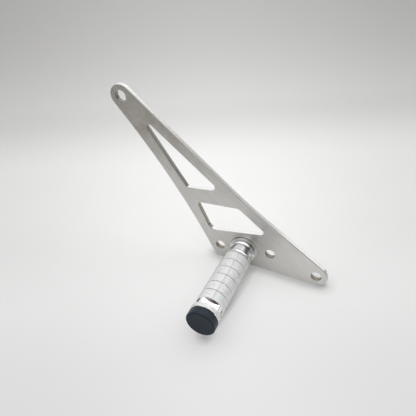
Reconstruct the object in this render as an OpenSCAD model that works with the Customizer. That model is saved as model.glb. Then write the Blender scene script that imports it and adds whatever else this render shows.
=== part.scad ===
// Footpeg lock bracket: a flat frame plate with a turned footpeg screwed on.
// Origin: centre of the middle frame hole, on the back face of the plate.
// +X runs along the bottom edge, +Z is up, the peg stands out along -Y.

/* [Plate] */
// Thickness of the flat plate
plate_t = 4.5; // [3:0.5:6]
// Radius of the round ends and margin of the edges around the holes
edge_margin = 10.4; // [9:0.1:12]
// Lean of the long upper edge beside the upper hole, off the line along both end circles
long_top_angle = 2.1; // [1:0.1:4]
// Lean of the long upper edge beside the right hole, off the same line
long_low_angle = 3.2; // [1:0.1:5]
// Lean of the left edge beside the upper hole, off the line along both end circles
left_top_angle = 5.7; // [3:0.1:7]
// Lean of the left edge beside the lower hole, off the same line
left_low_angle = 6.2; // [3:0.1:7]
// Radius that blends the bend of the long upper edge
long_bend_r = 420; // [200:10:500]
// Radius that blends the hollow left edge
left_bend_r = 715; // [400:5:740]
// Radius of the lower left corner
lower_corner_r = 4; // [2:0.5:8]

/* [Frame holes] */
// Diameter of the middle hole, which is the origin
middle_d = 9.9; // [8.5:0.1:11]
// Diameter of the right hole
right_d = 10; // [8.5:0.1:11]
// Place of the right hole along X
right_x = 45.1; // [40:0.1:50]
// Place of the right hole along Z
right_z = -10.9; // [-14:0.1:-8]
// Diameter of the lower hole
lower_d = 9.6; // [8.5:0.1:11]
// Place of the lower hole along X
lower_x = -50.7; // [-54:0.1:-47]
// Place of the lower hole along Z
lower_z = -6.6; // [-8:0.1:-5]
// Diameter of the upper hole
upper_d = 11; // [8.5:0.1:12]
// Place of the upper hole along X
upper_x = -145.8; // [-150:0.1:-140]
// Place of the upper hole along Z
upper_z = 132.3; // [128:0.1:136]

/* [Cut-outs] */
// Upper corner of the triangle along X
tri_top_x = -133.7; // [-135.5:0.1:-132.5]
// Upper corner of the triangle along Z
tri_top_z = 122.6; // [121.5:0.1:124]
// Corner radius at the triangle's upper corner
tri_top_r = 3.1; // [2:0.1:4]
// Right corner of the triangle along X
tri_right_x = -50.2; // [-53:0.1:-48]
// Right corner of the triangle along Z
tri_right_z = 57; // [56:0.1:59]
// Corner radius at the triangle's right corner
tri_right_r = 4.2; // [2:0.1:5]
// Lower corner of the triangle along X
tri_low_x = -84.9; // [-87:0.1:-82]
// Lower corner of the triangle along Z
tri_low_z = 52.3; // [51:0.1:54]
// Corner radius at the triangle's lower corner
tri_low_r = 2; // [1:0.1:5]
// Upper left corner of the parallelogram along X
par_left_x = -75.3; // [-77:0.1:-73]
// Upper left corner of the parallelogram along Z
par_left_z = 39.1; // [38:0.1:41]
// Corner radius at the parallelogram's upper left corner
par_left_r = 3; // [1:0.1:5]
// Upper right corner of the parallelogram along X
par_top_x = -32.9; // [-35:0.1:-31]
// Upper right corner of the parallelogram along Z
par_top_z = 43.3; // [42:0.1:45]
// Corner radius at the parallelogram's upper right corner
par_top_r = 5.5; // [3:0.1:7]
// Right corner of the parallelogram along X
par_right_x = -2.8; // [-5:0.1:-1]
// Right corner of the parallelogram along Z
par_right_z = 20.8; // [19:0.1:22]
// Corner radius at the parallelogram's right corner
par_right_r = 3.5; // [1:0.1:5]
// Lower corner of the parallelogram along X
par_low_x = -61.2; // [-63:0.1:-59]
// Lower corner of the parallelogram along Z
par_low_z = 9.3; // [8.5:0.1:11]
// Corner radius at the parallelogram's lower corner
par_low_r = 8.4; // [5:0.1:9]

/* [Footpeg] */
// Place of the peg axis along X
peg_x = -26; // [-28:0.1:-24]
// Place of the peg axis along Z
peg_z = -2.5; // [-4:0.1:-1]
// Diameter of the knurled barrel
barrel_d = 25; // [23:0.5:27]
// Length of one band of the barrel between two ring grooves
band = 9.9; // [9:0.1:11]
// Number of bands
bands = 6; // [3:1:7]
// Width of a ring groove
groove_w = 0.7; // [0.4:0.1:1.2]
// Depth of a ring groove
groove_depth = 0.45; // [0.2:0.05:0.8]
// Diameter of the base flange
flange_d = 25.4; // [24:0.1:28]
// Thickness of the base flange
flange_t = 5.4; // [4:0.1:7]
// Flat land left between the round edges of the flange
flange_land = 0.8; // [0.4:0.1:1.6]
// Width of the undercut between the flange and the neck
undercut_w = 0.9; // [0.5:0.1:1.5]
// Depth of the undercut below the neck
undercut_depth = 0.6; // [0.4:0.1:1.2]
// Diameter of the polished neck
neck_d = 23.8; // [22.5:0.1:24.5]
// Length of the polished neck behind its shoulder
neck_l = 6.8; // [4:0.1:9]
// Length of the shoulder that rises from the neck to the barrel
shoulder_l = 3.4; // [2:0.1:5]
// Number of flutes along the barrel
flutes = 4; // [1:1:6]
// Width of a flute
flute_w = 2.2; // [1.5:0.1:3]
// Depth of a flute
flute_depth = 0.25; // [0.15:0.05:0.6]
// Direction of the first flute about the peg, from +X towards +Z
flute_azimuth = 76; // [0:1:89]
// Width across the wrench flats
wrench_af = 20; // [19:0.5:22]
// Length of the wrench flats
wrench_l = 6.1; // [4:0.1:8]
// Diameter of the end ring
ring_d = 26.5; // [25:0.1:28]
// Thickness of the end ring
ring_t = 4.9; // [4:0.1:6]
// Broken edges of the end ring
ring_edge = 0.5; // [0.2:0.1:1]
// Broken edges of the neck and of the barrel's end
edge_break = 0.3; // [0.1:0.05:0.5]

/* [End cap] */
// Diameter of the cap
cap_d = 26.2; // [24:0.1:27]
// Height of the cap above its land
cap_h = 7.2; // [5:0.1:9]
// Radius of the cap's outer edge
cap_edge_r = 1.2; // [0.5:0.1:2]
// Depth of the dished face
cap_dish = 0.35; // [0.1:0.05:0.8]
// Dark gap between the cap and the ring
cap_gap = 0.3; // [0.2:0.05:0.6]
// Depth of that gap
cap_gap_depth = 1.4; // [0.8:0.1:2]
// Flat border around the dished face
cap_border = 0.8; // [0.4:0.1:2]
// Diameter of the spigot that holds the cap
spigot_d = 16; // [12:0.5:17]
// Length of the spigot
spigot_l = 7; // [4:0.5:10]
// Chamfer at the spigot's end
spigot_edge = 0.5; // [0.2:0.1:1]
// Clearance around the spigot
spigot_gap = 0.2; // [0.1:0.05:0.4]

/* [Fasteners] */
// Diameter of the peg screw
screw_d = 10; // [8:1:12]
// Width across the flats of the screw head
head_af = 16; // [15:1:19]
// Height of the screw head
head_h = 6.4; // [5:0.1:8]
// Diameter of the round top left by the chamfer of the screw head
head_top_d = 15.2; // [13:0.1:15.5]
// Chamfer of the screw's tip
tip_chamfer = 1; // [0.5:0.1:1.5]
// Length that the screw reaches into the peg
grip_l = 20; // [12:1:26]
// Room left beyond the screw's tip
tip_room = 3; // [1:0.5:6]
// Clearance around the screw in each hole
screw_gap = 0.25; // [0.15:0.05:0.5]
// Rim of the base washer that shows around the flange
base_washer_rim = 0.6; // [0.1:0.1:3]
// Thickness of the base washer
base_washer_t = 2.2; // [1:0.1:3]
// Diameter of the spring washer
lock_washer_d = 18; // [16.5:0.5:19]
// Thickness of the spring washer
lock_washer_t = 2.5; // [2:0.1:3]
// Width of the split in the spring washer
lock_split = 1.4; // [0.8:0.1:2]
// Diameter of the flat washer behind the plate
back_washer_d = 20; // [18:0.5:24]
// Thickness of the flat washer behind the plate
back_washer_t = 2; // [1:0.1:3]

/* [Hidden] */
$fn = 96;
cut = 1;

bore_d = screw_d + 2 * screw_gap;
middle = [0, 0];
right = [right_x, right_z];
lower = [lower_x, lower_z];
upper = [upper_x, upper_z];
peg = [peg_x, peg_z];

// Corners of the cut-outs, anticlockwise, with their radii
triangle = [[tri_top_x, tri_top_z], [tri_low_x, tri_low_z], [tri_right_x, tri_right_z]];
triangle_r = [tri_top_r, tri_low_r, tri_right_r];
parallelogram = [[par_left_x, par_left_z], [par_low_x, par_low_z],
                 [par_right_x, par_right_z], [par_top_x, par_top_z]];
parallelogram_r = [par_left_r, par_low_r, par_right_r, par_top_r];

// Heights along the peg, from the front face of the plate
flange_end = base_washer_t + flange_t;
neck_start = flange_end + undercut_w;
neck_end = neck_start + neck_l;
barrel_start = neck_end + shoulder_l;
groove_start = barrel_start + 1.1;
barrel_end = groove_start + bands * band;
ring_start = barrel_end + wrench_l;
ring_end = ring_start + ring_t;
socket_l = spigot_l + 1;

function toward(angle) = [cos(angle), sin(angle)];

function unit(v) = v / norm(v);

// A straight side: its outward direction and its distance from the origin
function side(at, out, angle) = [angle, at * toward(angle) + out];

// The point where two sides meet
function meet(s, t) =
    let (d = sin(t[0] - s[0]))
    [(s[1] * sin(t[0]) - t[1] * sin(s[0])) / d,
     (t[1] * cos(s[0]) - s[1] * cos(t[0])) / d];

// The round of radius r in corner p between the sides to a and b, as points
function corner(a, p, b, r) =
    let (u = unit(a - p), v = unit(b - p), half = acos(u * v) / 2,
         centre = p + unit(u + v) * r / sin(half),
         from = p + u * r / tan(half) - centre, to = p + v * r / tan(half) - centre,
         start = atan2(from[1], from[0]), turn = signed(atan2(to[1], to[0]) - start),
         steps = ceil(abs(turn) * sqrt(r) / 16))
    [for (i = [0 : steps]) centre + r * toward(start + turn * i / steps)];

// The same angle between -180 and 180
function signed(angle) = angle > 180 ? angle - 360 : angle < -180 ? angle + 360 : angle;

// Arc from direction a0 to a1, as profile points
function arc(centre, r, a0, a1, steps = 6) =
    [for (i = [0 : steps]) centre + r * toward(a0 + (a1 - a0) * i / steps)];

// The largest round, up to r, that fits where the straight sides s and t beside
// the holes a and b turn by an angle
function fitted(r, a, s, b, t, turn) =
    let (p = meet(s, t),
         room = min(norm(a + edge_margin * toward(s[0]) - p), norm(b + edge_margin * toward(t[0]) - p)))
    min(r, 0.98 * room / tan(turn / 2));

// Outward directions of the straight lines along both end circles
long_line = atan2(right_x - upper_x, upper_z - right_z);
left_line = 180 + atan2(lower_x - upper_x, upper_z - lower_z);

long_top = side(upper, edge_margin, long_line - long_top_angle);
long_low = side(right, edge_margin, long_line + long_low_angle);
bottom = side(right, edge_margin, -90);
left_low = side(lower, edge_margin, left_line - left_low_angle);
left_top = side(upper, edge_margin, left_line + left_top_angle);

// Outline with sharp corners: upper end, long bend, right end, lower corner, left bend
outline = [meet(left_top, long_top), meet(long_top, long_low), meet(long_low, bottom),
           meet(bottom, left_low), meet(left_low, left_top)];
outline_r = [edge_margin,
             fitted(long_bend_r, upper, long_top, right, long_low, long_top_angle + long_low_angle),
             edge_margin, lower_corner_r,
             fitted(left_bend_r, lower, left_low, upper, left_top, left_low_angle + left_top_angle)];

// Flat shape with a tangent round in each corner
module rounded_shape(points, radii) {
    last = len(points) - 1;
    polygon([for (i = [0 : last])
        each corner(points[i == 0 ? last : i - 1], points[i],
                    points[i == last ? 0 : i + 1], radii[i])]);
}

module hole(at, d) {
    translate(at) circle(d = d);
}

// Plain ring standing on z = 0
module washer(d, bore, t) {
    difference() {
        cylinder(d = d, h = t);
        translate([0, 0, -cut]) cylinder(d = bore, h = t + 2 * cut);
    }
}

// Places a child built along +Z on the peg axis, in front of the plate
module in_front(h = 0) {
    translate([peg_x, -plate_t - h, peg_z]) rotate([90, 0, 0]) children();
}

// Places a child built along +Z on the peg axis, behind the plate
module behind(h = 0) {
    translate([peg_x, h, peg_z]) rotate([-90, 0, 0]) children();
}

module bracket_plate() {
    color([0.66, 0.66, 0.64])
    rotate([90, 0, 0])
    linear_extrude(height = plate_t)
    difference() {
        rounded_shape(outline, outline_r);
        rounded_shape(triangle, triangle_r);
        rounded_shape(parallelogram, parallelogram_r);
        hole(middle, middle_d);
        hole(right, right_d);
        hole(lower, lower_d);
        hole(upper, upper_d);
        hole(peg, bore_d);
    }
}

module base_washer() {
    color([0.58, 0.58, 0.57])
    in_front()
    washer(flange_d + 2 * base_washer_rim, bore_d, base_washer_t);
}

// Half profile of the turned peg up to the end of the barrel: [radius, height]
module peg_profile() {
    edge = (flange_t - flange_land) / 2;
    barrel_r = barrel_d / 2;
    neck_r = neck_d / 2;
    undercut_r = neck_r - undercut_depth;
    polygon(concat(
        [[0, base_washer_t]],
        arc([flange_d / 2 - edge, base_washer_t + edge], edge, -90, 0),
        arc([flange_d / 2 - edge, flange_end - edge], edge, 0, 90),
        [[undercut_r, flange_end], [undercut_r, neck_start],
         [neck_r - edge_break, neck_start], [neck_r, neck_start + edge_break]],
        [for (i = [0 : 6]) [neck_r + (barrel_r - neck_r) * sin(i * 15),
                            barrel_start - shoulder_l * cos(i * 15)]],
        [for (i = [0 : bands - 1])
            let (h = groove_start + i * band)
            each [[barrel_r, h - groove_w / 2], [barrel_r - groove_depth, h - groove_w / 4],
                  [barrel_r - groove_depth, h + groove_w / 4], [barrel_r, h + groove_w / 2]]],
        [[barrel_r, barrel_end - edge_break], [barrel_r - edge_break, barrel_end],
         [0, barrel_end]]));
}

// Four wrench flats milled across the bar, with round corners left between them
module wrench_flats() {
    translate([0, 0, barrel_end - cut])
    intersection() {
        rotate([0, 0, flute_azimuth])
        translate([-wrench_af / 2, -wrench_af / 2, 0])
        cube([wrench_af, wrench_af, wrench_l + 2 * cut]);
        cylinder(d = barrel_d, h = wrench_l + 2 * cut);
    }
}

module end_ring() {
    r = ring_d / 2;
    rotate_extrude()
    polygon([[0, ring_start], [r - ring_edge, ring_start], [r, ring_start + ring_edge],
             [r, ring_end - ring_edge], [r - ring_edge, ring_end], [0, ring_end]]);
}

// Round-bottomed flute along the whole barrel
module flute() {
    flute_r = (pow(flute_w / 2, 2) + pow(flute_depth, 2)) / (2 * flute_depth);
    translate([barrel_d / 2 - flute_depth + flute_r, 0, groove_start])
    cylinder(r = flute_r, h = barrel_end - groove_start, $fn = 48);
}

module footpeg() {
    color([0.85, 0.85, 0.86])
    in_front()
    difference() {
        union() {
            rotate_extrude() peg_profile();
            wrench_flats();
            end_ring();
        }
        for (i = [0 : flutes - 1]) {
            rotate([0, 0, flute_azimuth + i * 360 / flutes]) flute();
        }
        cylinder(d = bore_d, h = base_washer_t + grip_l + tip_room);
        translate([0, 0, ring_end - socket_l])
        cylinder(d = spigot_d + 2 * spigot_gap, h = socket_l + cut);
    }
}

module end_cap() {
    r = cap_d / 2;
    face = cap_gap + cap_h;
    dish_r = r - cap_edge_r - cap_border;
    color([0.17, 0.18, 0.21])
    in_front(ring_end)
    rotate_extrude()
    polygon(concat(
        [[0, -spigot_l], [spigot_d / 2 - spigot_edge, -spigot_l],
         [spigot_d / 2, -spigot_l + spigot_edge],
         [spigot_d / 2, 0], [r - cap_gap_depth, 0], [r - cap_gap_depth, cap_gap], [r, cap_gap]],
        arc([r - cap_edge_r, face - cap_edge_r], cap_edge_r, 0, 90),
        [for (i = [0 : 4]) [dish_r * (1 - i / 4), face - cap_dish * (1 - pow(1 - i / 4, 2))]]));
}

// Screw built head up: the shank hangs below z = 0
module peg_screw() {
    shank_l = back_washer_t + lock_washer_t + plate_t + base_washer_t + grip_l;
    beyond = 0.6 * head_af;
    low = head_h - (beyond - head_top_d / 2) * tan(30);
    color([0.62, 0.62, 0.60])
    behind(back_washer_t + lock_washer_t)
    union() {
        intersection() {
            cylinder(d = head_af / cos(30), h = head_h, $fn = 6);
            rotate_extrude()
            polygon([[0, -cut], [beyond, -cut], [beyond, low], [head_top_d / 2, head_h],
                     [0, head_h]]);
        }
        translate([0, 0, -shank_l]) rotate_extrude()
        polygon([[0, 0], [screw_d / 2 - tip_chamfer, 0], [screw_d / 2, tip_chamfer],
                 [screw_d / 2, shank_l + cut], [0, shank_l + cut]]);
    }
}

module lock_washer() {
    color([0.55, 0.55, 0.54])
    behind(back_washer_t)
    difference() {
        washer(lock_washer_d, bore_d, lock_washer_t);
        translate([bore_d / 4, -lock_split / 2, -cut])
        cube([lock_washer_d, lock_split, lock_washer_t + 2 * cut]);
    }
}

module back_washer() {
    color([0.62, 0.62, 0.60])
    behind()
    washer(back_washer_d, bore_d, back_washer_t);
}

bracket_plate();
base_washer();
footpeg();
end_cap();
peg_screw();
lock_washer();
back_washer();
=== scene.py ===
"""Footpeg lock bracket: materials, floor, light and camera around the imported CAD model."""
import math

import bpy
import bmesh
from mathutils import Matrix, Vector

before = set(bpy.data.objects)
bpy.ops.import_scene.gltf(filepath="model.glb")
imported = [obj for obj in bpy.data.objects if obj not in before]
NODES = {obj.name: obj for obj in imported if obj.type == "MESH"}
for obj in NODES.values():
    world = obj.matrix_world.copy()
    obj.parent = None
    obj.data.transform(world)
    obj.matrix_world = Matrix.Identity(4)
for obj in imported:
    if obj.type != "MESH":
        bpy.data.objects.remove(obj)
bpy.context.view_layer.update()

MM = 0.001
BLACK, WHITE = (0.0, 0.0, 0.0), (1.0, 1.0, 1.0)

# Driving dimensions in mm, from the centre of the middle hole on the plate's back face
PLATE_T = 4.5
BOTTOM_Z = -21.3                         # the plate's bottom edge
HOLES = {"middle": (0.0, 0.0, 4.95), "right": (45.1, -10.9, 5.0),
         "lower": (-50.7, -6.6, 4.8), "upper": (-145.8, 132.3, 5.5)}
TRIANGLE = ((-133.7, 122.6), (-84.9, 52.3), (-50.2, 57.0))
PARALLELOGRAM = ((-75.3, 39.1), (-61.2, 9.3), (-2.8, 20.8), (-32.9, 43.3))
PEG_X, PEG_Z = -26.0, -2.5
WASHER_R, BARREL_R, RING_R, CAP_R = 13.3, 12.5, 13.25, 13.1

# Heights on the peg, from the plate's front face
FLANGE_FROM, FLANGE_TO = 2.2, 7.6
NECK_FROM, NECK_TO = 8.4, 15.3
BARREL_FROM, BARREL_TO = 18.7, 79.2
RING_FROM, RING_TO = 85.3, 90.2

# Surface patterns, in mm and degrees
BRUSH_ANGLE = -42.0                      # direction of the brushing in the XZ plane
FLUTE_AZIMUTH = 76.0                     # of one flute, round the peg from +X
FLUTES = 4.0
LEFT_FLAT = (math.radians(124.0), math.radians(175.0))
ROW_PITCH, COLUMN_PITCH = 1.0, 1.25      # of the knurl

# Camera, solved from the photograph
CAMERA_AT = Vector((75.7, -293.7, 281.5))
CAMERA_RIGHT = Vector((0.90624, 0.42243, -0.01656))
CAMERA_AHEAD = Vector((-0.34423, 0.71460, -0.60897))
LENS, SENSOR = 37.2, 36.0
CLIP_FROM, CLIP_TO = 0.01, 20.0          # in metres


# Node helpers
class Nodes:
    """Short-hand for building one node tree."""

    def __init__(self, name):
        self.material = bpy.data.materials.new(name)
        self.material.use_nodes = True
        self.tree = self.material.node_tree
        self.tree.nodes.clear()
        self.out = self.add("ShaderNodeOutputMaterial")
        self.shader = self.add("ShaderNodeBsdfPrincipled")
        self.link(self.shader.outputs[0], self.out.inputs["Surface"])
        self.geometry = self.add("ShaderNodeNewGeometry")
        self.position = self.vector("MULTIPLY", self.geometry.outputs["Position"],
                                    (1 / MM, 1 / MM, 1 / MM))

    def add(self, kind):
        return self.tree.nodes.new(kind)

    def link(self, source, target):
        self.tree.links.new(source, target)

    def put(self, target, value):
        """Link a socket, or set a plain value."""
        if isinstance(value, bpy.types.NodeSocket):
            self.link(value, target)
        else:
            target.default_value = value

    def math(self, operation, *values):
        node = self.add("ShaderNodeMath")
        node.operation = operation
        for socket, value in zip(node.inputs, values):
            self.put(socket, value)
        return node.outputs[0]

    def plus(self, *values):
        total = values[0]
        for value in values[1:]:
            total = self.math("ADD", total, value)
        return total

    def times(self, *values):
        product = values[0]
        for value in values[1:]:
            product = self.math("MULTIPLY", product, value)
        return product

    def highest(self, *values):
        top = values[0]
        for value in values[1:]:
            top = self.math("MAXIMUM", top, value)
        return top

    def above(self, value, limit):
        """1 where the value is over the limit."""
        return self.math("GREATER_THAN", value, limit)

    def below(self, value, limit):
        return self.math("LESS_THAN", value, limit)

    def between(self, value, low, high):
        return self.times(self.above(value, low), self.below(value, high))

    def vector(self, operation, *values):
        node = self.add("ShaderNodeVectorMath")
        node.operation = operation
        for socket, value in zip(node.inputs, values):
            self.put(socket, value)
        scalar = operation in ("DOT_PRODUCT", "DISTANCE")
        return node.outputs["Value" if scalar else "Vector"]

    def reach(self, x, z, centre_x, centre_z):
        """Distance from a line along Y through the centre."""
        return self.vector("DISTANCE", self.join(x, 0.0, z), (centre_x, 0.0, centre_z))

    def split(self, vector):
        node = self.add("ShaderNodeSeparateXYZ")
        self.link(vector, node.inputs[0])
        return node.outputs

    def join(self, x, y, z):
        node = self.add("ShaderNodeCombineXYZ")
        for socket, value in zip(node.inputs, (x, y, z)):
            self.put(socket, value)
        return node.outputs[0]

    def noise(self, vector, scale=1.0, detail=3.0, roughness=0.55):
        node = self.add("ShaderNodeTexNoise")
        self.link(vector, node.inputs["Vector"])
        node.inputs["Scale"].default_value = scale
        node.inputs["Detail"].default_value = detail
        node.inputs["Roughness"].default_value = roughness
        return node.outputs["Fac"]

    def stretched_noise(self, x, y, z, scales, detail=3.0):
        """Noise with a scale of its own along each axis."""
        axes = [self.times(value, scale) for value, scale in zip((x, y, z), scales)]
        return self.noise(self.join(*axes), detail=detail)

    def ramp(self, value, low, high, to_low=0.0, to_high=1.0):
        node = self.add("ShaderNodeMapRange")
        node.interpolation_type = "SMOOTHSTEP"
        for socket, number in zip(node.inputs, (value, low, high, to_low, to_high)):
            self.put(socket, number)
        return node.outputs[0]

    def mix(self, factor, a, b):
        """Colour a, turning to b as the factor rises to 1."""
        node = self.add("ShaderNodeMix")
        node.data_type = "RGBA"
        self.put(node.inputs[0], factor)
        for socket, value in zip((node.inputs[6], node.inputs[7]), (a, b)):
            self.put(socket, (*value, 1.0) if isinstance(value, tuple) else value)
        return node.outputs[2]

    def grained(self, noise, tones):
        """Colour that follows a noise between two tones."""
        dark, light = tones
        return self.mix(self.ramp(noise, 0.3, 0.7), dark, light)

    def blend(self, factor, a, b):
        """a + factor * (b - a), for numbers and number sockets."""
        plain = isinstance(a, float) and isinstance(b, float)
        span = b - a if plain else self.math("SUBTRACT", b, a)
        return self.math("MULTIPLY_ADD", factor, span, a)

    def bump(self, height, strength, distance):
        node = self.add("ShaderNodeBump")
        self.link(height, node.inputs["Height"])
        node.inputs["Strength"].default_value = strength
        node.inputs["Distance"].default_value = distance * MM
        return node

    def soft_edges(self, radius):
        """Shading normal that rounds every edge a little."""
        node = self.add("ShaderNodeBevel")
        node.samples = 6
        node.inputs["Radius"].default_value = radius * MM
        return node.outputs[0]

    def finish(self, colour, roughness, normal=None, metallic=1.0):
        self.put(self.shader.inputs["Base Color"], colour)
        self.put(self.shader.inputs["Roughness"], roughness)
        self.shader.inputs["Metallic"].default_value = metallic
        if normal is not None:
            self.link(normal, self.shader.inputs["Normal"])
        return self.material


def inside_polygon(n, x, z, corners, grow):
    """1 where (x, z) is inside the convex outline grown by `grow` mm."""
    count = len(corners)
    centre = (sum(c[0] for c in corners) / count, sum(c[1] for c in corners) / count)
    past = []
    for i, a in enumerate(corners):
        b = corners[(i + 1) % count]
        nx, nz = b[1] - a[1], a[0] - b[0]
        size = math.hypot(nx, nz)
        nx, nz = nx / size, nz / size
        if (centre[0] - a[0]) * nx + (centre[1] - a[1]) * nz > 0:
            nx, nz = -nx, -nz
        outward = n.plus(n.times(x, nx), n.times(z, nz))
        past.append(n.math("SUBTRACT", outward, a[0] * nx + a[1] * nz))
    return n.below(n.highest(*past), grow)


# Plate
FACE_TONES = (0.59, 0.581, 0.558), (0.79, 0.78, 0.755)
FACE_STREAK, FACE_CLOUD = (0.52, 0.512, 0.49), FACE_TONES[1]
ARM_SHADE_TONES, STAIN = ((0.30, 0.275, 0.248), (0.39, 0.362, 0.33)), (0.30, 0.265, 0.205)
CUT_DULL_TONES = (0.36, 0.35, 0.33), (0.50, 0.49, 0.465)
CUT_BRIGHT_TONES, CUT_UP_HIGHLIGHT = ((0.70, 0.69, 0.67), (0.84, 0.83, 0.81)), (0.95, 0.948, 0.94)
SCORCH_AND_SHADE, SCORCH_STRAW = (0.18, 0.168, 0.15), (0.46, 0.33, 0.17)
HOLE_SCORCH, HOLE_STRAW = (0.165, 0.142, 0.122), (0.36, 0.27, 0.16)
WASHER_RIM_SHADE = (0.12, 0.12, 0.115)

CUT_MARGIN, HOLE_MARGIN = 1.0, 0.8       # a wall counts as the opening's within this reach
UPPER_ARM_FROM, UPPER_ARM_TO = 40.0, 120.0       # Z over which the upper arm turns darker with painted shade
STRAW_BELOW, STRAW_ABOVE = 46.0, 108.0   # Z; straw patches lie below and above
CUT_STEP = (-2.6, -1.7)                  # Y over which a laser cut turns smooth


def brushed_plate():
    """Brushed stainless plate: brushed faces, laser-cut walls, heat tint and painted shade in the
    cut-outs.
    """
    n = Nodes("brushed_stainless")
    x, y, z = n.split(n.position)
    turn = math.radians(BRUSH_ANGLE)
    along = n.plus(n.times(x, math.cos(turn)), n.times(z, math.sin(turn)))
    across = n.plus(n.times(x, -math.sin(turn)), n.times(z, math.cos(turn)))
    lines = n.stretched_noise(along, across, y, (0.06, 4.2, 1.0), detail=4.0)
    streaks = n.stretched_noise(along, across, y, (0.025, 0.5, 1.0))
    clouds = n.noise(n.position, scale=0.035, detail=2.0)
    face = n.grained(lines, FACE_TONES)
    face = n.mix(n.ramp(streaks, 0.38, 0.7, 0.0, 0.22), face, FACE_STREAK)
    face = n.mix(n.ramp(clouds, 0.4, 0.65, 0.0, 0.2), face, FACE_CLOUD)

    # Painted shade: the upper arm turns darker and warmer in blotches; it also has faint brown
    # stains
    upper_arm = n.ramp(z, UPPER_ARM_FROM, UPPER_ARM_TO)
    blotches = n.ramp(n.noise(n.position, scale=0.12), 0.3, 0.7, 0.46, 0.66)
    face = n.mix(n.times(upper_arm, blotches), face, n.grained(lines, ARM_SHADE_TONES))
    stains = n.ramp(n.noise(n.position, scale=0.07, detail=4.0), 0.52, 0.66, 0.0, 0.3)
    face = n.mix(n.times(upper_arm, stains), face, STAIN)

    # Painted shade: a dark line round the upper half of the peg's washer
    washer_shade = n.ramp(n.reach(x, z, PEG_X, PEG_Z), WASHER_R + 0.3, WASHER_R + 1.0, 0.85, 0.0)
    face = n.mix(n.times(washer_shade, n.ramp(z, -4.0, 5.0)), face, WASHER_RIM_SHADE)

    # Laser-cut walls: dull and striated towards the front face, smooth towards the back; walls that
    # face up carry a painted highlight
    normal = n.split(n.geometry.outputs["True Normal"])
    on_wall = n.below(n.math("ABSOLUTE", normal[1]), 0.5)
    facing_up = n.ramp(normal[2], 0.75, 0.95)
    marks = n.stretched_noise(x, y, z, (2.6, 0.16, 2.6), detail=4.0)
    ragged = n.plus(y, n.times(n.noise(n.position, scale=0.5), 1.4))
    smooth = n.ramp(n.math("MULTIPLY_ADD", facing_up, 0.8, ragged), *CUT_STEP)
    bright = n.mix(facing_up, n.grained(marks, CUT_BRIGHT_TONES), CUT_UP_HIGHLIGHT)
    wall = n.mix(smooth, n.grained(marks, CUT_DULL_TONES), bright)

    # Heat tint and painted shade: the cut-outs' walls that face right are scorched and painted
    # darker, and the holes are scorched
    cut_out = n.highest(*[inside_polygon(n, x, z, corners, CUT_MARGIN)
                          for corners in (TRIANGLE, PARALLELOGRAM)])
    scorched_and_shaded = n.times(cut_out, n.ramp(normal[0], 0.25, 0.7))
    hole = n.highest(*[n.below(n.reach(x, z, hole_x, hole_z), hole_r + HOLE_MARGIN)
                       for hole_x, hole_z, hole_r in HOLES.values()])
    patches = n.ramp(n.noise(n.position, scale=0.11), 0.5, 0.6)
    upper = n.above(z, STRAW_ABOVE)
    straw = n.times(patches, n.highest(upper, n.below(z, STRAW_BELOW)))
    wall = n.mix(n.times(scorched_and_shaded, 0.72), wall, SCORCH_AND_SHADE)
    wall = n.mix(n.times(scorched_and_shaded, straw, 0.5), wall, SCORCH_STRAW)
    wall = n.mix(n.times(hole, 0.85), wall, HOLE_SCORCH)
    wall = n.mix(n.times(hole, patches, n.blend(upper, 0.25, 0.7)), wall, HOLE_STRAW)

    roughness = n.blend(on_wall, n.ramp(lines, 0.2, 0.8, 0.34, 0.46), n.blend(smooth, 0.5, 0.16))
    relief = n.bump(n.blend(on_wall, lines, marks), 0.35, 0.06)
    n.link(n.soft_edges(0.4), relief.inputs["Normal"])
    n.put(n.shader.inputs["Anisotropic"], n.times(n.math("SUBTRACT", 1.0, on_wall), 0.75))
    n.link(n.join(-math.sin(turn), 0.0, math.cos(turn)), n.shader.inputs["Tangent"])
    return n.finish(n.mix(on_wall, face, wall), roughness, relief.outputs[0])


# Peg
POLISH_TONES = (0.78, 0.785, 0.795), (0.90, 0.90, 0.91)
NECK_SHADED_TONES = (0.58, 0.585, 0.595), (0.70, 0.70, 0.71)
KNURL_DARK, KNURL_LIGHT, KNURL_EDGE_SHADE = (0.54, 0.545, 0.555), WHITE, (0.30, 0.30, 0.31)
FLUTE_TONE, GROOVE_TONE = (0.60, 0.605, 0.62), (0.11, 0.11, 0.115)
END_WALL_SHADE, LEFT_FLAT_REFLECTION = (0.07, 0.035, 0.03), (0.20, 0.18, 0.15)
CREVICE_SHADE, SHADE_TONE = (0.08, 0.08, 0.085), (0.16, 0.165, 0.18)

# The shoulder's bead and fine groove: height from, height to, and step of the relief
SHOULDER_STEPS = ((15.1, 15.9, 0.5), (15.9, 18.3, -1.0), (18.3, 18.9, 0.5))


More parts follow.
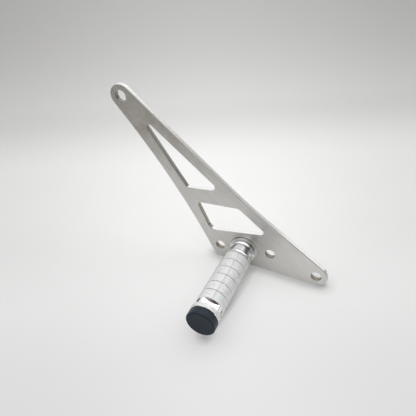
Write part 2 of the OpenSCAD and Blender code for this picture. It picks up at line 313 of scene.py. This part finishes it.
def peg_metal():
    """Bright turned peg: polished neck, flange and flats, fine knurl on barrel and ring."""
    n = Nodes("turned_bright_metal")
    x, y, z = n.split(n.position)
    radius = n.reach(x, z, PEG_X, PEG_Z)
    height = n.math("SUBTRACT", n.times(y, -1.0), PLATE_T)
    azimuth = n.math("ARCTAN2", n.math("SUBTRACT", z, PEG_Z), n.math("SUBTRACT", x, PEG_X))
    around = n.times(azimuth, BARREL_R)
    on_barrel = n.between(height, BARREL_FROM, BARREL_TO - 0.25)
    on_ring = n.times(n.between(height, RING_FROM + 0.4, RING_TO - 0.4),
                      n.above(radius, RING_R - 0.1))
    knurled = n.highest(on_barrel, on_ring)

    # Knurl: rows nearly straight round the peg, crossed by columns along it
    wobble = n.times(n.noise(n.position, scale=0.5), 0.6)
    rows = n.math("SINE", n.times(n.plus(height, n.times(around, 0.22)), 2 * math.pi / ROW_PITCH))
    columns = n.math("SINE", n.times(n.plus(around, wobble), 2 * math.pi / COLUMN_PITCH))
    grain = n.noise(n.position, scale=1.6, detail=4.0, roughness=0.7)
    mesh = n.plus(n.times(rows, 0.30), n.times(columns, 0.20))
    sparkle = n.mix(n.ramp(n.plus(grain, n.times(mesh, 0.14)), 0.34, 0.66), KNURL_DARK, KNURL_LIGHT)

    # Painted shade: the teeth turn dark where the barrel curves out of sight
    facing = n.add("ShaderNodeLayerWeight")
    facing.inputs["Blend"].default_value = 0.5
    sparkle = n.mix(n.ramp(facing.outputs["Facing"], 0.68, 0.96, 0.0, 0.8), sparkle, KNURL_EDGE_SHADE)
    turning = n.stretched_noise(0.0, y, radius, (1.0, 6.0, 6.0))
    colour = n.mix(knurled, n.grained(turning, POLISH_TONES), sparkle)

    # Flutes are a little duller, grooves hold shadow and dirt
    flute = n.times(n.math("SUBTRACT", azimuth, math.radians(FLUTE_AZIMUTH)), FLUTES)
    flute = n.times(n.ramp(n.math("COSINE", flute), 0.90, 0.97), on_barrel)
    colour = n.mix(n.times(flute, 0.4), colour, FLUTE_TONE)
    groove = n.times(on_barrel, n.below(radius, BARREL_R - 0.3),
                     n.above(height, BARREL_FROM + 0.5), n.ramp(azimuth, 0.9, 1.9, 0.95, 0.6))
    colour = n.mix(groove, colour, GROOVE_TONE)

    # Painted shade on the barrel's end wall over the flats, and a painted dark reflection on the
    # flat that faces left
    end_wall = n.times(n.between(height, BARREL_TO - 0.1, BARREL_TO + 0.1),
                       n.below(radius, BARREL_R - 0.35), n.above(azimuth, 0.45),
                       n.ramp(azimuth, 1.2, 1.8, 0.95, 0.6))
    colour = n.mix(end_wall, colour, END_WALL_SHADE)
    left_flat = n.times(n.between(height, BARREL_TO, RING_FROM - 0.3),
                        n.between(azimuth, *LEFT_FLAT))
    colour = n.mix(n.times(left_flat, 0.75), colour, LEFT_FLAT_REFLECTION)

    # Painted shade: fine dark lines under the flange, in the undercut and behind the shoulder
    line = n.highest(n.between(height, FLANGE_FROM, FLANGE_FROM + 0.35),
                     n.between(height, FLANGE_TO, NECK_FROM),
                     n.between(height, BARREL_FROM - 0.5, BARREL_FROM + 0.1))
    colour = n.mix(n.times(line, n.ramp(azimuth, 1.2, 1.7, 1.0, 0.45), 0.9), colour, CREVICE_SHADE)

    # Painted shade: the neck is darker than the flange, and both are shaded on the right
    neck = n.between(height, NECK_FROM, NECK_TO)
    colour = n.mix(neck, colour, n.grained(turning, NECK_SHADED_TONES))
    flange_side = n.times(n.between(height, FLANGE_FROM, FLANGE_TO), n.between(azimuth, 0.2, 0.95))
    neck_side = n.times(neck, n.between(azimuth, 0.72, 1.0))
    shade = n.highest(n.times(flange_side, 0.65), n.times(neck_side, 0.45))
    colour = n.mix(shade, colour, SHADE_TONE)

    teeth = n.plus(mesh, n.times(grain, 1.4))
    relief_height = n.plus(n.times(teeth, knurled, 0.11), n.times(turning, 0.004))
    for low, high, step in SHOULDER_STEPS:
        relief_height = n.plus(relief_height, n.ramp(height, low, high, 0.0, step))
    relief = n.bump(relief_height, 0.7, 1.0)
    n.link(n.soft_edges(0.25), relief.inputs["Normal"])
    return n.finish(colour, n.ramp(knurled, 0.0, 1.0, 0.13, 0.72), relief.outputs[0])


# Washers, screw and cap
ZINC_TONES = (0.50, 0.50, 0.48), (0.66, 0.66, 0.64)
WASHER_TONES = (0.80, 0.80, 0.785), (0.92, 0.92, 0.905)
CAP_TONES = (0.006, 0.012, 0.020), (0.009, 0.015, 0.024)
CAP_GAP_SHADE, CAP_SIDE_SHEEN = (0.003, 0.003, 0.004), (0.023, 0.027, 0.034)
CAP_SHINE = (0.62, 0.80, 1.0, 1.0)


def turned_steel(name, tones, wear):
    """Plain steel with fine turning marks and a share of darker handling wear."""
    n = Nodes(name)
    x, y, z = n.split(n.position)
    rings = n.stretched_noise(n.reach(x, z, PEG_X, PEG_Z), y, 0.0, (3.0, 3.0, 1.0))
    spots = n.noise(n.position, scale=0.7, detail=4.0)
    worn = tuple(c * 0.6 for c in tones[0])
    colour = n.mix(n.ramp(spots, 0.52, 0.75, 0.0, wear), n.grained(rings, tones), worn)
    relief = n.bump(rings, 0.3, 0.05)
    return n.finish(colour, n.ramp(spots, 0.3, 0.7, 0.28, 0.46), relief.outputs[0])


def cap_plastic():
    """Black moulded cap: faint grain, a few hair scratches, painted shade in the gap beside the end
    ring, and a painted sheen on its side.
    """
    n = Nodes("black_moulded_plastic")
    x, y, z = n.split(n.position)
    grain = n.noise(n.position, scale=2.2)
    haze = n.noise(n.position, scale=0.12, detail=2.0)
    scratch = n.stretched_noise(x, y, z, (0.12, 1.0, 4.5), detail=2.0)
    colour = n.mix(n.ramp(haze, 0.35, 0.65), *CAP_TONES)
    # Painted sheen on the cap's side, and painted shade beside the end ring
    on_side = n.ramp(n.reach(x, z, PEG_X, PEG_Z), CAP_R - 0.9, CAP_R - 0.1)
    from_ring = n.ramp(n.plus(n.times(y, -1.0), -PLATE_T - RING_TO), 0.5, 1.5)
    colour = n.mix(on_side, colour, n.mix(from_ring, CAP_GAP_SHADE, CAP_SIDE_SHEEN))
    roughness = n.plus(n.ramp(grain, 0.3, 0.7, 0.36, 0.46), n.ramp(scratch, 0.66, 0.74, 0.0, 0.1))
    n.shader.inputs["Specular Tint"].default_value = CAP_SHINE
    n.shader.inputs["Specular IOR Level"].default_value = 0.25
    return n.finish(colour, roughness, n.bump(grain, 0.25, 0.02).outputs[0], metallic=0.0)


def dress(material, *names):
    for name in names:
        for slot in NODES[name].material_slots:
            slot.material = material


dress(brushed_plate(), "bracket_plate")
dress(peg_metal(), "footpeg")
dress(turned_steel("washer_steel", WASHER_TONES, 0.45), "base_washer")
dress(cap_plastic(), "end_cap")
dress(turned_steel("zinc_steel", ZINC_TONES, 0.35), "peg_screw", "lock_washer", "back_washer")


# Stage
# The part stands on the plate's bottom edge and on the end ring, so the floor leans to it.
CONTACT_SPAN = 88.0                      # along the peg, between the two contacts
CONTACT_X = -20.0                        # where the floor's measures start, under the peg
CONTACT_REACH = 13.0                     # of the contact shadow
LEAN = math.asin((PEG_Z - BOTTOM_Z - RING_R) / CONTACT_SPAN)
contact = Vector((CONTACT_X, -PLATE_T, BOTTOM_Z)) * MM
floor_up = Vector((0.0, -math.sin(LEAN), math.cos(LEAN)))
away = (CAMERA_AHEAD - floor_up * CAMERA_AHEAD.dot(floor_up)).normalized()
side = away.cross(floor_up)

# The sweep: floor in front of the part, backdrop behind it, its height, bend and half width
FLOOR_FRONT, BACKDROP, BACKDROP_TOP, BEND_R, HALF_WIDTH = 420.0, 560.0, 1100.0, 200.0, 1100.0
BEND_STEPS = 12

# Paper colours: in front, beside the part, far, at the top, and in reflections
PAPER_FRONT, PAPER_NEAR = (0.735, 0.742, 0.738), (0.905, 0.905, 0.902)
PAPER_FAR, PAPER_TOP = (0.715, 0.713, 0.707), (0.60, 0.597, 0.59)
PAPER_UNSEEN, PAPER_FIBRE = (0.84, 0.838, 0.835), (0.6, 0.6, 0.6)
CONTACT_SHADE = (0.02, 0.02, 0.02)
LIFT, FLOOR_LIGHT = 0.35, 1.12           # share of the paper's light that shadows keep
GLOW_MIDDLE, GLOW_SIDE = 0.95, 0.58      # of the backdrop in polished metal


def paper():
    """Pale seamless paper with painted shade: the camera sees it greyer towards the backdrop and
    the sides.
    """
    n = Nodes("paper")
    from_part = n.vector("SUBTRACT", n.position, tuple(contact / MM))
    depth = n.vector("DOT_PRODUCT", from_part, tuple(away))
    sideways = n.vector("DOT_PRODUCT", from_part, tuple(side))
    aside = n.math("DIVIDE", n.math("ABSOLUTE", n.plus(sideways, 35.0)), n.plus(depth, 430.0))
    # Painted shade: the paper the camera sees is greyer in front, towards the backdrop and towards
    # the sides
    seen = n.mix(n.ramp(depth, -160.0, 90.0), PAPER_FRONT, PAPER_NEAR)
    seen = n.mix(n.ramp(depth, 175.0, 325.0), seen, PAPER_FAR)
    seen = n.mix(n.ramp(depth, 350.0, 570.0), seen, PAPER_TOP)
    side_shade = n.times(n.ramp(depth, -60.0, 60.0, 0.09, 0.2), n.ramp(aside, 0.0, 0.5))
    seen = n.mix(side_shade, seen, BLACK)
    fibre = n.noise(n.position, scale=0.02, detail=2.0)
    seen = n.mix(n.ramp(fibre, 0.4, 0.6, 0.0, 0.02), seen, PAPER_FIBRE)

    # Contact shadow, darkest under the cap
    near_by = n.add("ShaderNodeAmbientOcclusion")
    near_by.samples = 8
    near_by.inputs["Distance"].default_value = CONTACT_REACH * MM
    contact_dark = n.times(n.ramp(near_by.outputs["AO"], 0.62, 0.98, 0.92, 0.0),
                           n.ramp(depth, -60.0, -25.0, 1.0, 0.4))
    seen = n.mix(contact_dark, seen, CONTACT_SHADE)

    # The camera sees wide shadows lifted, and metal sees a backdrop brightest in the middle
    path = n.add("ShaderNodeLightPath")
    to_camera = path.outputs["Is Camera Ray"]
    mirrored = n.times(path.outputs["Is Glossy Ray"], n.ramp(depth, 250.0, 420.0))
    colour = n.mix(to_camera, PAPER_UNSEEN, n.mix(LIFT, seen, BLACK))
    colour = n.mix(mirrored, colour, BLACK)
    glow = n.times(mirrored, n.ramp(sideways, 380.0, 720.0, GLOW_MIDDLE, GLOW_SIDE))
    n.link(n.mix(to_camera, WHITE, seen), n.shader.inputs["Emission Color"])
    n.put(n.shader.inputs["Emission Strength"],
          n.plus(glow, n.times(to_camera, LIFT * FLOOR_LIGHT)))
    n.shader.inputs["Specular IOR Level"].default_value = 0.2
    return n.finish(colour, 0.75, metallic=0.0)


def seamless_floor():
    """One sweep: a flat floor that curves up into the backdrop behind the part."""
    bend_from = BACKDROP - BEND_R
    profile = [(-FLOOR_FRONT, 0.0), (bend_from, 0.0)]
    for i in range(1, BEND_STEPS + 1):
        a = math.pi / 2 * i / BEND_STEPS
        profile.append((bend_from + BEND_R * math.sin(a), BEND_R - BEND_R * math.cos(a)))
    profile.append((BACKDROP, BACKDROP_TOP))
    mesh = bmesh.new()
    rows = [[mesh.verts.new(contact + (away * out + floor_up * up + side * w) * MM)
             for w in (-HALF_WIDTH, HALF_WIDTH)] for out, up in profile]
    for a, b in zip(rows, rows[1:]):
        mesh.faces.new((a[0], a[1], b[1], b[0]))
    data = bpy.data.meshes.new("paper_sweep")
    mesh.to_mesh(data)
    mesh.free()
    for face in data.polygons:
        face.use_smooth = True
    sweep = bpy.data.objects.new("paper_sweep", data)
    bpy.context.scene.collection.objects.link(sweep)
    data.materials.append(paper())


seamless_floor()


# Light
def area_light(name, at, look, size, power):
    data = bpy.data.lights.new(name, "AREA")
    data.shape = "RECTANGLE"
    data.size, data.size_y = size[0] * MM, size[1] * MM
    data.energy = power
    lamp = bpy.data.objects.new(name, data)
    lamp.location = Vector(at) * MM
    lamp.rotation_euler = (Vector(look) - Vector(at)).to_track_quat("-Z", "Y").to_euler()
    bpy.context.scene.collection.objects.link(lamp)


area_light("softbox_top", (-80, 100, 640), (-40, -20, 0), (860, 720), 1.3)
area_light("fill_right", (420, -330, 60), (-26, -50, 0), (320, 320), 0.32)

CEILING_SIDE = (-0.25, 0.45, 1.0)        # direction of the bright ceiling
ROOM_RAMP = (0.05, 0.75, 0.15, 1.35)     # along it: dim until, bright from, and both strengths
ROOM_COLOUR = (1.0, 0.997, 0.99, 1.0)


def studio_world():
    """A dim room, darkest in front, to the right and near the horizon, under a bright ceiling."""
    world = bpy.data.worlds.new("studio")
    bpy.context.scene.world = world
    world.use_nodes = True
    tree = world.node_tree
    background = tree.nodes["Background"]
    direction = tree.nodes.new("ShaderNodeTexCoord")
    towards = tree.nodes.new("ShaderNodeVectorMath")
    towards.operation = "DOT_PRODUCT"
    towards.inputs[1].default_value = CEILING_SIDE
    rise = tree.nodes.new("ShaderNodeMapRange")
    rise.interpolation_type = "SMOOTHSTEP"
    for socket, number in zip(rise.inputs[1:5], ROOM_RAMP):
        socket.default_value = number
    tree.links.new(direction.outputs["Generated"], towards.inputs[0])
    tree.links.new(towards.outputs["Value"], rise.inputs[0])
    tree.links.new(rise.outputs[0], background.inputs["Strength"])
    background.inputs["Color"].default_value = ROOM_COLOUR


studio_world()


# Camera
# The solved directions are made exactly square before they turn the camera.
camera_data = bpy.data.cameras.new("camera")
camera_data.lens = LENS
camera_data.sensor_width = SENSOR
camera_data.clip_start = CLIP_FROM
camera_data.clip_end = CLIP_TO
camera = bpy.data.objects.new("camera", camera_data)
ahead = CAMERA_AHEAD.normalized()
right = (CAMERA_RIGHT - ahead * CAMERA_RIGHT.dot(ahead)).normalized()
up = right.cross(ahead)
camera.matrix_world = Matrix((
    (right.x, up.x, -ahead.x, CAMERA_AT.x * MM),
    (right.y, up.y, -ahead.y, CAMERA_AT.y * MM),
    (right.z, up.z, -ahead.z, CAMERA_AT.z * MM),
    (0.0, 0.0, 0.0, 1.0)))
bpy.context.scene.collection.objects.link(camera)
bpy.context.scene.camera = camera
bpy.context.scene.view_settings.view_transform = "Standard"
